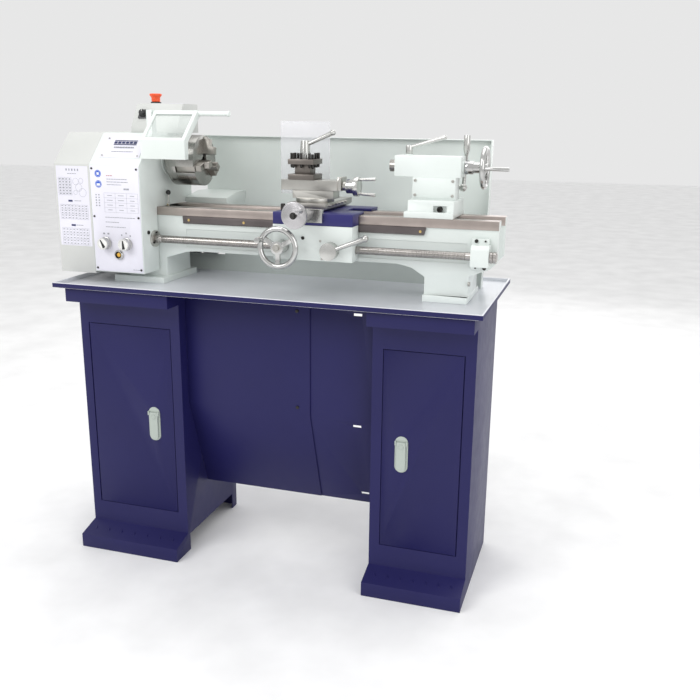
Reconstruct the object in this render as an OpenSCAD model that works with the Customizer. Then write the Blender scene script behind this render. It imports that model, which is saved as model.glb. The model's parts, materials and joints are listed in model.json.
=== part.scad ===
// Small bench lathe on a two-cabinet stand.
// X runs from the headstock to the tailstock, Y from front to back, Z up from the floor.

/* [Stand] */
// Height of the cabinet tops
stand_h = 690; // [640:5:740]
// Width of the left cabinet
left_w = 278; // [270:1:290]
// Width of the right cabinet
right_w = 238; // [230:1:250]
// Space between the two cabinets
knee_gap = 489; // [480:1:500]
// Depth of the cabinets
cabinet_d = 296; // [285:1:310]
// Sheet steel thickness of the cabinets and doors
sheet = 2.5; // [1.5:0.5:3]
// Height of the pressed top of each cabinet
cap_h = 32; // [20:1:40]
// How far the pressed tops stand out in front
cap_out = 54; // [40:1:60]
// How far the foot steps stand out in front
step_out = 63; // [50:1:64]

/* [Chip tray] */
// Length of the chip tray
tray_l = 1051; // [1045:1:1060]
// Depth of the chip tray
tray_d = 456; // [450:1:460]
// Height of the tray rim over the cabinet tops
tray_h = 15; // [12:1:18]

/* [Bed and spindle] */
// Height of the ways over the tray floor
ways_h = 187; // [180:1:190]
// Height of the spindle axis over the ways
centre_h = 111; // [108:1:114]
// Through bore of the spindle
spindle_bore_r = 10; // [8:0.5:11]
// Radius of the three-jaw chuck
chuck_r = 61; // [55:1:62]
// Radius of the leadscrew
screw_r = 9.5; // [8:0.5:10]
// Radius of the tailstock quill
quill_r = 13.5; // [12:0.5:15]

/* [Running fits] */
// Radial clearance of every shaft in its hole
fit = 0.05; // [0.02:0.01:0.1]

/* [Hidden] */
$fn = 64;

// The origin is below the middle of the whole machine; mid is its place from the
// left cabinet's outer left side and from the cabinets' front faces.
mid = [495, 163, 0];
function around(c, r) = [c - r, c + r];
function span(c, low, high) = [c + low, c + high];

// Stand
body_top = stand_h - cap_h;
right_x = left_w + knee_gap;
door_z = [108, 594];
left_door_x = [24, 251];
right_door_x = span(right_x, 27, 212);
door_gap = 1.5;
door_t = 6;
hinge_inset = 3;
pin_r = 2;
latch_size = [31, 89];
left_latch = [197.5, 344.5];
right_latch = [right_x + 74.5, 346];
knee_bend_z = 403;
knee_low = [120, 153];

// Chip tray
tray_x = -28;
tray_y = -65;
tray_floor = stand_h + 6;
tray_rim = stand_h + tray_h;

// Bed
ways_z = tray_floor + ways_h;
way_t = 20;
bed_y = [84, 206];
bed_x = [55, 1027];
way_front = [80, 114];
way_rear = [184, 218];

// Spindle line
axis_y = 149;
axis_z = ways_z + centre_h;
head_x = [51, 186.5];
head_front = 6;
slope_z = 985;
slope_y = 76;
head_top = 1058;
head_back = 262;
seam_z = 870;
gearbox_z = 727;
selector_x = [86, 143.5];
selector_z = 798;
glass_at = [121, 771];
cover_x = -48;
cover_back = 335;
cover_hinge = [51, 337];
cover_pin_r = 2.5;
chuck_x = [212, 285];
// angles of the jaws about the spindle, from +Y towards +Z
jaw_a = [80, 200, 320];

// Leadscrew
screw_y = 60;
screw_z = ways_z - 76;

// Motor
motor_y = 288;
motor_z = 800;
motor_r = 61;
spindle_pulley_r = 54;
motor_pulley_r = 22;
belt_t = 5;
belt_x = [-34, -16];

// Gear train from spindle to leadscrew
gear_x = [2, 14];
spindle_gear_r = 28;
screw_gear_r = 45;
train_l = norm([axis_y - screw_y, axis_z - screw_z]);
idler_r = (train_l - spindle_gear_r - screw_gear_r) / 2;
idler_share = (spindle_gear_r + idler_r) / train_l;
idler_y = axis_y + (screw_y - axis_y) * idler_share;
idler_z = axis_z + (screw_z - axis_z) * idler_share;

// Carriage
saddle_x = [516, 708];
saddle_top = ways_z + 7;
apron_y = [26, 72];
apron_z = [782, 862];
cross_x = [541, 634];
cross_y = [56, 258];
cross_top = 909;
swivel = [590, 110];
slide_x = [515, 652];
slide_y = [83, 137];
slide_z = [936, 959];
post = [565, 110];
post_size = 63;
wheel_hub_x = 541;
wheel_z = 812;
feed_z = 894;
top_axis_z = 946;

// Tailstock
tail_x = [777, 930];
quill_x = 761;
guard_x = [190, 305];
guard_bend = [12, 1045];
guard_slope = 43;
guard_rod = [89, 1105];
guard_rod_r = 5.8;
lug_x = [170, 184];

module bench() translate(-mid) children();
module slab(x, y, z) translate([x[0], y[0], z[0]]) cube([x[1] - x[0], y[1] - y[0], z[1] - z[0]]);
module rod_x(r, x, y, z) translate([x[0], y, z]) rotate([0, 90, 0]) cylinder(r = r, h = x[1] - x[0]);
module rod_y(r, x, y, z) translate([x, y[0], z]) rotate([-90, 0, 0]) cylinder(r = r, h = y[1] - y[0]);
module rod_z(r, x, y, z) translate([x, y, z[0]]) cylinder(r = r, h = z[1] - z[0]);
// An outline given in Y and Z, run along X
module along_x(points, x) translate([x[0], 0, 0]) rotate([90, 0, 90])
    linear_extrude(x[1] - x[0]) polygon(points);
// An outline given in X and Z, run along Y
module along_y(points, y) translate([0, y[1], 0]) rotate([90, 0, 0])
    linear_extrude(y[1] - y[0]) polygon(points);
// A wheel rim about the Y axis, of round section
module rim_y(r, section_r, x, y, z) translate([x, y, z]) rotate([90, 0, 0])
    rotate_extrude($fn = 96) translate([r, 0]) circle(section_r, $fn = 32);
// A toothed disc; teeth stand out to radius r
module toothed(r, depth, teeth, h) linear_extrude(h) polygon([
    for (i = [0:teeth - 1], k = [0:3])
        let (a = 360 * (i + [0, 0.3, 0.5, 0.8][k]) / teeth, d = k < 2 ? r : r - depth)
        d * [cos(a), sin(a)]]);
// A lever arm between two points, tapering from one radius to the other
module arm(from, to, r1, r2) {
    way = to - from;
    translate(from)
        rotate([0, acos(way[2] / norm(way)), atan2(way[1], way[0])])
            cylinder(r1 = r1, r2 = r2, h = norm(way));
}

// ---- Stand ----
module cabinet(x, door_x, hinge_x, cut_x) {
    inner = [x[0] + sheet, x[1] - sheet];
    deep = [sheet, cabinet_d - sheet];
    difference() {
        union() {
            difference() {
                slab(x, [0, cabinet_d], [0, body_top]);
                slab(inner, deep, [-1, body_top + 1]);
                slab(door_x + [-door_gap, door_gap], [-1, sheet + 1],
                    door_z + [-door_gap, door_gap]);
            }
            // floor of the cabinet
            slab(x + [1, -1], [1, cabinet_d - 1], [60, 60 + sheet]);
            // rebated frame that the door closes against
            difference() {
                slab(door_x + [-6, 6], [1, 10.5], door_z + [-6, 6]);
                slab(door_x + [-door_gap, door_gap], [0, 8], door_z + [-door_gap, door_gap]);
                slab(door_x + [12, -12], [0, 12], door_z + [12, -12]);
            }
            // pressed top, open below over the cabinet
            difference() {
                slab(x, [-cap_out, cabinet_d], [body_top, stand_h]);
                slab(inner, [sheet - cap_out, cabinet_d - sheet],
                    [body_top + sheet, stand_h - sheet]);
                slab(inner, deep, [body_top - 1, body_top + sheet + 1]);
            }
            // foot step
            difference() {
                along_x([[-step_out, 0], [-step_out, 35], [1, 52], [1, 0]], x);
                along_x([[sheet - step_out, -1], [sheet - step_out, 32.5], [-1, 49], [-1, -1]],
                    inner);
            }
        }
        for (z = [door_z[0] - 5, door_z[1] - 1])
            rod_z(pin_r + fit, hinge_x, hinge_inset, [z, z + 6]);
        // toe space cut into the side that faces the knee space
        slab(cut_x, [12, 268], [-1, 45]);
    }
}
module left_cabinet() color("midnightblue") bench()
    cabinet([0, left_w], left_door_x, left_door_x[0] + hinge_inset, span(left_w, -10, 5));
module right_cabinet() color("midnightblue") bench()
    cabinet([right_x, right_x + right_w], right_door_x, right_door_x[1] - hinge_inset,
        span(right_x, -5, 10));

module knee_panel(x, back) along_x([
    [back, stand_h - 1], [back + 2, stand_h - 1], [back + 2, knee_bend_z],
    [knee_low[0] + back - 31, knee_low[1] + 1], [knee_low[0] + back - 33, knee_low[1]],
    [back, knee_bend_z - 0.5]], x);
module left_knee_panel() color("midnightblue") bench() knee_panel([left_w + 0.2, 604], 33);
module right_knee_panel() color("midnightblue") bench() difference() {
    knee_panel([588, right_x - 0.2], 35.4);
    for (z = [661, 386]) slab([711, 731], [20, 60], [z - 3, z + 3]);
    slab([714, 734], [90, 130], [179, 185]);
}

// Swinging parts of a door: pan, hinge pins and the plate of its latch
module door(x, hinge_x, latch) {
    side = hinge_x < (x[0] + x[1]) / 2 ? [hinge_inset, 0] : [0, -hinge_inset];
    difference() {
        slab(x + side, [0, door_t], door_z);
        slab(x + [12, -12], [sheet, door_t + 1], door_z + [10, -10]);
    }
    rod_z(hinge_inset, hinge_x, hinge_inset, door_z);
    for (z = [door_z[0] - 4.5, door_z[1] - 1]) rod_z(pin_r, hinge_x, hinge_inset, [z, z + 5.5]);
    // latch plate with its two hinge lugs
    w = latch_size[0] / 2;
    h = latch_size[1] / 2;
    slab(around(latch[0], w), [-2, 1], around(latch[1], h - w));
    for (z = [w - h, h - w]) rod_y(w, latch[0], [-2, 1], latch[1] + z);
    for (s = [-1, 1]) difference() {
        slab(around(latch[0] + s * 13.5, 1.5), [-8, -1], around(latch[1] + h - w, 5));
        rod_x(1 + fit, around(latch[0], 20), -5, latch[1] + h - w);
    }
}
module latch(at) {
    z = at[1] + latch_size[1] / 2 - latch_size[0] / 2;
    low = at[1] - latch_size[1] / 2 + 14;
    slab(around(at[0], 11), [-7.5, -2.5], [low, z]);
    rod_y(11, at[0], [-7.5, -2.5], low);
    rod_x(2.5, around(at[0], 11), -5, z);
    rod_x(1, around(at[0], 14.5), -5, z);
}
module left_door() color("midnightblue") bench()
    door(left_door_x, left_door_x[0] + hinge_inset, left_latch);
module right_door() color("midnightblue") bench()
    door(right_door_x, right_door_x[1] - hinge_inset, right_latch);
module left_latch() color("silver") bench() latch(left_latch);
module right_latch() color("silver") bench() latch(right_latch);

module chip_tray() color("whitesmoke") bench() {
    slab([tray_x + 10, tray_x + tray_l - 10], [tray_y + 10, tray_y + tray_d - 10],
        [stand_h, tray_floor]);
    difference() {
        slab([tray_x, tray_x + tray_l], [tray_y, tray_y + tray_d], [stand_h + 3, tray_rim]);
        slab([tray_x + 5, tray_x + tray_l - 5], [tray_y + 5, tray_y + tray_d - 5],
            [tray_floor, tray_rim + 1]);
    }
}

// ---- Bed ----
module bed() color("honeydew") bench() {
    wall = [
        [bed_x[0], ways_z - way_t], [bed_x[1], ways_z - way_t], [bed_x[1], 792], [1012, 777],
        [964, 757], [964, 711], [863, 711], [863, 751], [832, 770], [798, 777], [288, 777],
        [262, 775], [205, 758], [205, 711], [95, 711], [95, 740], [bed_x[0], 760]];
    difference() {
        for (y = [bed_y[0], bed_y[1] - 12]) along_y(wall, [y, y + 12]);
        // long sunk panel in the front wall
        slab([262, 958], [bed_y[0] - 1, bed_y[0] + 2], [787, 831]);
    }
    for (x = [70, 230, 400, 570, 740, 990]) slab([x, x + 10], [90, 200], [790, ways_z - 10]);
    for (y = [way_front, way_rear]) slab(bed_x, y, [ways_z - way_t, ways_z]);
    // feet: side walls and base flanges
    for (x = [[95, 205], [863, 964]]) {
        for (side = [[x[0], x[0] + 10], [x[1] - 10, x[1]]]) slab(side, [90, 200], [705, 762]);
    }
    slab([70, 210], [56, 232], [tray_floor, 711]);
    slab([862, 965], [70, 232], [tray_floor, 711]);
}
module feed_rack() color("dimgray") bench() {
    pitch = 4.71;
    low = ways_z - 38;
    along_y(concat([[864, ways_z - 20.1], [257, ways_z - 20.1]],
        [for (i = [0:127], k = [0:3])
            [258 + pitch * (i + [0, 0.2, 0.5, 0.7][k]), k == 0 || k == 3 ? low : low + 3]]),
        [77.5, bed_y[0]]);
}

// ---- Headstock ----
function casing(back, low, inset) = [
    [head_front + inset, low], [head_front + inset, slope_z - inset * 0.4],
    [slope_y + inset * 0.4, head_top - inset], [back - inset, head_top - inset],
    [back - inset, low]];
module headstock() color("whitesmoke") bench() difference() {
    union() {
        difference() {
            along_x(casing(head_back, seam_z, 0), head_x);
            // the lower front of the casing rests on the gearbox, the rest on the ways
            along_x(casing(head_back, seam_z - 1, 7), head_x + [9, -14]);
            slab(head_x + [-1, 1], [way_front[0] - 0.5, head_back + 1], [seam_z - 1, ways_z]);
        }
        rod_x(38, [head_x[1] - 22, head_x[1] + 3], axis_y, axis_z);
        rod_x(38, [head_x[0], head_x[0] + 24], axis_y, axis_z);
        // bracket behind the end cover's hinge pin, reaching back to it
        slab([cover_hinge[0] + cover_pin_r + fit, 58], [head_back - 4, cover_hinge[1] + 3],
            [900, 1040]);
        // lug that carries the guard's hinge rod
        along_x([[78, 1050], [79, 1113], [98, 1113], [102, 1050]], lug_x);
    }
    rod_x(31, [head_x[0] + 7, head_x[0] + 30], axis_y, axis_z);
    rod_x(31, [head_x[1] - 30, head_x[1] - 3], axis_y, axis_z);
    rod_x(18, head_x + [-5, 10], axis_y, axis_z);
    rod_x(guard_rod_r + fit, lug_x + [2, 1], guard_rod[0], guard_rod[1]);
}
module front_plates() color("lavender") bench() {
    difference() {
        slab([head_x[0] + 2, head_x[1] - 2], [4.6, head_front], [729, 983]);
        for (x = selector_x) rod_y(5, x, [0, 20], selector_z);
        rod_y(9, glass_at[0], [0, 20], glass_at[1]);
    }
    // plate on the sloping front
    run = [slope_y - head_front, head_top - slope_z];
    out = [-run[1], run[0]] / norm(run) * 1.4;
    low = [head_front, slope_z] + run * 0.22;
    high = [head_front, slope_z] + run * 0.88;
    along_x([low, low + out, high + out, high], [72, 178]);
}
module feed_gearbox() color("whitesmoke") bench() difference() {
    union() {
        difference() {
            slab(head_x, [head_front, way_front[0] - 0.5], [gearbox_z, seam_z]);
            slab(head_x + [6, -6], [head_front + 6, 72], [gearbox_z + 6, seam_z - 6]);
        }
        // screwed flange round the leadscrew
        rod_x(20, [head_x[1], head_x[1] + 6], screw_y, screw_z);
    }
    for (x = [head_x[0] - 5, head_x[1] - 10])
        rod_x(screw_r + fit, [x, x + 20], screw_y, screw_z);
    for (x = selector_x) rod_y(4 + fit, x, [0, 20], selector_z);
    rod_y(9, glass_at[0], [0, 20], glass_at[1]);
}
module sight_glass() color("gold") bench() {
    rod_y(8.98, glass_at[0], [-0.5, 13], glass_at[1]);
    difference() {
        rod_y(12, glass_at[0], [-1.5, 4.5], glass_at[1]);
        rod_y(8, glass_at[0], [-2, -0.5], glass_at[1]);
    }
}
module control_knob(x) {
    rod_y(15, x, [-14, 3.5], selector_z);
    rod_y(4, x, [-5, 18], selector_z);
}
module range_knob() color("silver") bench() control_knob(selector_x[0]);
module feed_knob() color("silver") bench() control_knob(selector_x[1]);

module switch_box() color("gainsboro") bench() {
    front = [[150, head_top], [150, 1070], [185, 1129], [262, 1129], [262, head_top]];
    inner = [[153, head_top + 3], [153, 1069], [187, 1126], [259, 1126], [259, head_top + 3]];
    difference() {
        along_x(front, [83, 213]);
        along_x(inner, [86, 210]);
        rod_z(6 + fit, 120, 215, [1120, 1135]);
        translate([110, 168.5, 1101]) rotate([59.3, 0, 0]) cylinder(r = 3 + fit, h = 30, center = true);
    }
    difference() {
        rod_z(13, 120, 215, [1129, 1133]);
        rod_z(6 + fit, 120, 215, [1128, 1134]);
    }
}
module emergency_button() color("orangered") bench() {
    rod_z(6, 120, 215, [1112, 1142]);
    translate([120, 215, 1138]) cylinder(r1 = 11, r2 = 14, h = 13);
    rod_z(14, 120, 215, [1151, 1154]);
}
module speed_knob() color("black") bench() translate([110, 168.5, 1101]) rotate([59.3, 0, 0]) {
    translate([0, 0, 3]) cylinder(r = 10, h = 12);
    translate([0, 0, -8]) cylinder(r = 3, h = 14);
}

// ---- Drive ----
module end_cover() color("gainsboro") bench() difference() {
    union() {
        along_x(casing(cover_back, 721, 0), [cover_x, head_x[0] - 0.5]);
        rod_z(cover_pin_r, cover_hinge[0], cover_hinge[1], [790, 1010]);
    }
    along_x(casing(cover_back, 723.5, 2.5), [cover_x + 2.5, head_x[0] + 1]);
    // hole for bar stock in line with the spindle
    rod_x(14, [cover_x - 1, cover_x + 4], axis_y, axis_z);
}
module spindle_bearings() color("silver") bench()
    for (x = [[head_x[0] + 7, head_x[0] + 24], [head_x[1] - 22, head_x[1] - 3]]) difference() {
        rod_x(30.98, x, axis_y, axis_z);
        rod_x(15 + fit, x + [-1, 1], axis_y, axis_z);
    }
module spindle() color("silver") bench() difference() {
    union() {
        rod_x(15, [-38, 205], axis_y, axis_z);
        rod_x(30, [head_x[1] + 4, 206], axis_y, axis_z);
    }
    rod_x(spindle_bore_r, [-50, 220], axis_y, axis_z);
}
module spindle_pulley() color("dimgray") bench() difference() {
    union() {
        rod_x(spindle_pulley_r, belt_x, axis_y, axis_z);
        rod_x(22, [belt_x[0], gear_x[1] + 4], axis_y, axis_z);
        translate([gear_x[0], axis_y, axis_z]) rotate([0, 90, 0])
            toothed(spindle_gear_r - 0.3, 3, 40, gear_x[1] - gear_x[0]);
    }
    rod_x(15, [-50, 60], axis_y, axis_z);
}
module motor() color("darkslategray") bench() difference() {
    union() {
        rod_x(motor_r, [75, 250], motor_y, motor_z);
        rod_x(30, [62, 75], motor_y, motor_z);
        // foot plate on the back of the bed
        slab([90, 190], [bed_y[1], bed_y[1] + 8], [780, 862]);
        slab([100, 180], [bed_y[1] + 6, 245], [786, 814]);
    }
    rod_x(8 + fit, [55, 90], motor_y, motor_z);
}
module motor_pulley() color("dimgray") bench() {
    rod_x(motor_pulley_r, belt_x, motor_y, motor_z);
    rod_x(8, [belt_x[0], 88], motor_y, motor_z);
}
// The belt clears both pulleys by a hair
module belt_loop(grow, x) translate([x[0], 0, 0]) rotate([90, 0, 90]) linear_extrude(x[1] - x[0])
    hull() {
        translate([axis_y, axis_z]) circle(spindle_pulley_r + grow, $fn = 72);
        translate([motor_y, motor_z]) circle(motor_pulley_r + grow, $fn = 48);
    }
module drive_belt() color("black") bench() difference() {
    belt_loop(0.4 + belt_t, belt_x + [2, -2]);
    belt_loop(0.4, belt_x);
}
module gear_banjo() color("dimgray") bench() {
    // leaning plate between the headstock and the bed, and the idler's stud
    along_x([[idler_y - 4, idler_z + 45], [idler_y - 30, idler_z - 66],
        [idler_y - 4, idler_z - 66], [idler_y + 22, idler_z + 45]], [24, 30]);
    rod_x(7, [gear_x[0] - 4, 30], idler_y, idler_z);
    rod_x(11, [gear_x[0] - 6, gear_x[0] - 1], idler_y, idler_z);
    rod_x(6, [29, head_x[0]], idler_y + 8, idler_z + 36);
    rod_x(6, [29, bed_x[0]], idler_y - 16, idler_z - 58);
}
module idler_gear() color("silver") bench() difference() {
    translate([gear_x[0], idler_y, idler_z]) rotate([0, 90, 0])
        toothed(idler_r - 0.3, 3, 96, gear_x[1] - gear_x[0]);
    rod_x(7 + fit, [-10, 40], idler_y, idler_z);
}
module leadscrew() color("silver") bench() {
    rod_x(screw_r, [gear_x[0] - 6, 1029], screw_y, screw_z);
    for (x = [1012.5, 1020.5]) rod_x(13, [x, x + 7], screw_y, screw_z);
}
module leadscrew_gear() color("silver") bench() difference() {
    translate([gear_x[0], screw_y, screw_z]) rotate([0, 90, 0])
        toothed(screw_gear_r - 0.3, 3, 64, gear_x[1] - gear_x[0]);
    rod_x(screw_r, [-10, 40], screw_y, screw_z);
}
module leadscrew_bracket() color("honeydew") bench() difference() {
    union() {
        slab([970, 1008], [75, bed_y[0]], [775, 845]);
        along_x([[44, 786], [44, 824], [52, 833], [76, 833], [76, 786]], [972, 1012]);
    }
    rod_x(screw_r + fit, [960, 1020], screw_y, screw_z);
}

// ---- Chuck ----
module chuck_body() color("slategray") bench() difference() {
    union() {
        rod_x(chuck_r, chuck_x, axis_y, axis_z);
        rod_x(chuck_r - 8, [206, chuck_x[0] + 1], axis_y, axis_z);
    }
    rod_x(12, [200, 300], axis_y, axis_z);
    rod_x(56, [222, 236], axis_y, axis_z);
    for (a = jaw_a) translate([0, axis_y, axis_z]) rotate([a - 90, 0, 0])
        slab([235, 300], [-8, 8], [8, 80]);
    // square key sockets between the jaws
    for (a = jaw_a) translate([0, axis_y, axis_z]) rotate([a + 90, 0, 0])
        slab([249, 260], [-5.5, 5.5], [44, 80]);
}
module chuck_scroll() color("silver") bench() difference() {
    rod_x(56 - fit, [223, 234], axis_y, axis_z);
    rod_x(14, [220, 240], axis_y, axis_z);
}
module chuck_jaw(a) translate([0, axis_y, axis_z]) rotate([a - 90, 0, 0]) {
    slab([236, 286], [-7.7, 7.7], [15, 57]);
    slab([286, 300], [-7.7, 7.7], [15, 52]);
    slab([300, 313], [-7.7, 7.7], [15, 33]);
}
module chuck_jaw_1() color("silver") bench() chuck_jaw(jaw_a[0]);
module chuck_jaw_2() color("silver") bench() chuck_jaw(jaw_a[1]);
module chuck_jaw_3() color("silver") bench() chuck_jaw(jaw_a[2]);

module chuck_guard() color("whitesmoke") bench() {
    difference() {
        along_x([[guard_bend[0], 1001], guard_bend, [84, 1112], [97, 1112], [97, 1109.5],
            [85, 1109.5], guard_bend + [2.5, -1], [guard_bend[0] + 2.5, 1001]], guard_x);
        // window opening in the sloping face
        translate([0, guard_bend[0], guard_bend[1]]) rotate([guard_slope, 0, 0])
            slab(guard_x + [9, -9], [8, 86], [-9, 9]);
    }
    // cheek at the open end
    along_x([[guard_bend[0] + 1, 1001], guard_bend + [1, 0], [84, 1111], [97, 1111],
        [97, 1098], [90, 1095], guard_bend + [19, -4], [guard_bend[0] + 17, 1001]],
        [guard_x[1] - 2.5, guard_x[1]]);
    slab(guard_x, [82, 96], [1099, 1111]);
    rod_x(guard_rod_r, [lug_x[0] + 3, 384], guard_rod[0], guard_rod[1]);
    rod_x(guard_rod_r + 1, [380, 385], guard_rod[0], guard_rod[1]);
}
module guard_window() color("lightcyan") bench()
    translate([0, guard_bend[0], guard_bend[1]]) rotate([guard_slope, 0, 0])
        slab(guard_x + [4, -4], [5, 84], [-4.6, -2.6]);

module splash_guard() color("whitesmoke") bench() {
    fold = [350, 905];
    low = [286, tray_floor];
    along_x([[336, 1051], [336, 1049], [350, 1049], fold, low, low + [2, 0], fold + [2, 0],
        [352, 1051]], [262, 967]);
    along_x([[350, 1051], [350, 905], [352, 905], [352, 1051]], [190, 263]);
    along_x([low, [298.9, 738], [300.9, 738], low + [2, 0]], [100, 263]);
    along_x([[336, 1051], [336, 1049], [352, 1049], [352, 1051]], [190, 263]);
    // folded end flange
    along_x([[324, 1051], [350.5, 1051], fold + [0.5, 0], low + [0.5, 0], low - [24, 0],
        fold - [26, 0]], [965, 967]);
    // sloping cover over the motor
    difference() {
        along_x([[228, 866], [228, 896], [300, 908], [351, 908], [351, 866]], [187, 304]);
        along_x([[230, 865], [230, 894], [300, 906], [349, 906], [349, 865]], [189, 302]);
    }
}
module machine_screws() color("black") bench() {
    for (x = [head_x[0] + 7, head_x[1] - 7], z = [736, 862, 976]) rod_y(2.6, x, [3, 4.6], z);
    for (a = [90, 210, 330])
        rod_x(2.6, span(head_x[1], 6, 9), screw_y + 15.5 * cos(a), screw_z + 15.5 * sin(a));
    for (p = [[980, 840, 4], [1000, 840, 2], [980, 780, 2], [1000, 780, 4]])
        rod_y(p[2], p[0], [71, 75], p[1]);
    for (x = [274, 420, 560, 700, 852]) rod_y(3, x, [75.7, 77.5], 854);
    for (z = [659, 420]) rod_y(4, 572, [30.5, 33], z);
}

// ---- Carriage ----
module saddle() color("midnightblue") bench() {
    // front wing over the apron, bridge and rear wing
    slab(saddle_x, [apron_y[0], 118], [ways_z + 0.1, saddle_top]);
    slab(saddle_x, [apron_y[0], 75], [apron_z[1], saddle_top]);
    slab([552, 662], [110, 190], [ways_z + 0.1, saddle_top]);
    slab(saddle_x, [180, 236], [ways_z + 0.1, saddle_top]);
    slab(saddle_x, [218.3, 236], [850, saddle_top]);
    slab(saddle_x, [206.4, 236], [850, ways_z - way_t - 0.3]);
}
module apron() color("honeydew") bench() difference() {
    slab([saddle_x[0], saddle_x[1]], apron_y, apron_z);
    slab([saddle_x[0] + 7, saddle_x[1] - 7], [apron_y[0] + 8, apron_y[1] + 1],
        [apron_z[0] + 7, apron_z[1] - 7]);
    rod_x(screw_r + 0.6, [500, 720], screw_y, screw_z);
    slab([500, 720], [screw_y, 80], around(screw_z, 10.1));
    rod_y(6 + fit, wheel_hub_x, [20, 40], wheel_z);
    rod_y(6 + fit, 657, [20, 40], 807);
}
module cross_feed_bearing() color("silver") bench() difference() {
    slab([560, 640], [14.3, apron_y[0]], [870, 900]);
    rod_y(6 + fit, 590, [10, 30], 889);
}
module carriage_handwheel() color("silver") bench() {
    rod_y(6, wheel_hub_x, [-12, 44], wheel_z);
    rod_y(15, wheel_hub_x, [-13, 24], wheel_z);
    rim_y(43, 6.5, wheel_hub_x, -6, wheel_z);
    for (a = [90, 210, 330]) translate([wheel_hub_x, 0, wheel_z]) rotate([0, a, 0])
        slab([10, 41], [-9, -1], [-5, 5]);
    // crank grip on the rim
    knob = [wheel_hub_x - 39, wheel_z + 18];
    rod_y(4, knob[0], [-14, -6], knob[1]);
    rod_y(6.5, knob[0], [-36, -13], knob[1]);
    // gear inside the apron
    translate([wheel_hub_x, 36, wheel_z]) rotate([-90, 0, 0]) toothed(14, 2, 24, 7);
}
module half_nut_lever() color("silver") bench() {
    rod_y(20, 657, [4, 25.6], 807);
    rod_y(6, 657, [20, 46], 807);
    arm([657, 12, 807], [742, 6, 840], 4.5, 6.5);
    translate([744, 6, 841]) sphere(7.5);
}
module cross_slide() color("silver") bench() {
    along_y([[cross_x[0], 896], [cross_x[0], cross_top], [cross_x[1], cross_top],
        [cross_x[1], 896], [cross_x[1] - 8, 890.2], [cross_x[0] + 8, 890.2]], cross_y);
    // shield bracket at the back
    slab([560, 590], [192, 197], [cross_top - 1, 940]);
    // gib screws
    for (y = [80:24:200]) rod_x(2.5, span(cross_x[1], -1, 5), y, 903);
}
module cross_slide_handwheel() color("silver") bench() {
    rod_y(30, 590, [-32, -24], 889);
    rod_y(14, 590, [-25, 14], 889);
    rod_y(6, 590, [-36, 25.5], 889);
    rod_y(5.5, 607, [-56, -31], 900);
}
module compound_base() color("silver") bench() {
    rod_z(45, swivel[0], swivel[1], [cross_top + 0.1, 918]);
    slab([542, 642], [86, 134], [917, slide_z[0] - 0.1]);
}
module compound_slide() color("silver") bench() difference() {
    union() {
        slab(slide_x, slide_y, slide_z);
        slab([slide_x[1] - 1, slide_x[1] + 8], [88, 132], [slide_z[0], slide_z[1] + 8]);
        rod_x(9.9, [slide_x[1], 668], swivel[1], top_axis_z);
        rod_z(7, post[0], post[1], [slide_z[1] - 1, 1012]);
    }
    rod_x(5 + fit, [640, 680], swivel[1], top_axis_z);
}
module compound_handwheel() color("silver") bench() {
    rod_x(5, [641, 690], swivel[1], top_axis_z);
    rod_x(16, [668.3, 686], swivel[1], top_axis_z);
    rod_x(22, [686, 698], swivel[1], top_axis_z);
    for (s = [-1, 1]) arm([697, swivel[1], top_axis_z + s * 16], [737, swivel[1], top_axis_z + s * 18],
        3, 4);
}
module tool_post() color("dimgray") bench() difference() {
    union() {
        slab(around(post[0], post_size / 2), around(post[1], post_size / 2), [slide_z[1] + 0.1, 972]);
        slab(around(post[0], 19), around(post[1], 19), [971, 995]);
        slab(around(post[0], post_size / 2), around(post[1], post_size / 2), [994, 1006]);
        for (a = [0:90:270], k = [-20, 0, 20]) translate([post[0], post[1], 0]) rotate([0, 0, a])
            translate([k, -25.5, 987]) cylinder(r = 3.5, h = 33);
    }
    rod_z(7 + fit, post[0], post[1], [950, 1010]);
}
module tool_post_lever() color("silver") bench() {
    difference() {
        translate([post[0], post[1], 1006.1]) cylinder(r1 = 13, r2 = 10, h = 41);
        rod_z(7 + fit, post[0], post[1], [1000, 1014]);
    }
    arm([post[0] + 5, post[1], 1038], [post[0] + 66, post[1], 1065], 4, 5.5);
    translate([post[0] + 68, post[1], 1066]) sphere(6.5);
}
module tool_shield() color("lightcyan") bench() slab([469, 596], [197.1, 200.1], [918, 1090]);

// ---- Tailstock ----
module tailstock_base() color("honeydew") bench() {
    slab([811, 924], [80, 218], [ways_z + 0.1, 897]);
    difference() {
        slab([818, 924], [88, 210], [896, 921.9]);
        // pocket of the set-over screw
        slab([877, 907], [80, 98], [896.5, 911]);
    }
    // clamp plate between the ways
    slab([835, 890], [118, 180], [852, ways_z + 2]);
}
module tailstock_body() color("honeydew") bench() difference() {
    union() {
        slab([820, 920], [121, 164], [922, 973]);
        slab([820, 906], [160, 200], [922, 973]);
        slab(tail_x, [121, 177], [972, 1018]);
        rod_x(16, [tail_x[1] - 1, 934], axis_y, axis_z);
        rod_z(9, 804, axis_y, [1017, 1021]);
    }
    rod_x(quill_r + fit, [760, 915], axis_y, axis_z);
    rod_x(6 + fit, [900, 940], axis_y, axis_z);
    rod_x(5 + fit, [880, 925], 190, 946);
    rod_z(4 + fit, 804, axis_y, [1009.5, 1030]);
}
module quill() color("silver") bench() difference() {
    rod_x(quill_r, [quill_x, 880], axis_y, axis_z);
    translate([quill_x - 1, axis_y, axis_z]) rotate([0, 90, 0]) cylinder(r1 = 7.5, r2 = 6.6, h = 34);
    rod_x(5 + fit, [780, 890], axis_y, axis_z);
}
module quill_lock_lever() color("silver") bench() {
    rod_z(8, 804, axis_y, [1021.3, 1040]);
    rod_z(4, 804, axis_y, [1010, 1025]);
    arm([806, axis_y - 1, 1036], [892, 131, 1060], 3.5, 5);
}
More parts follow.
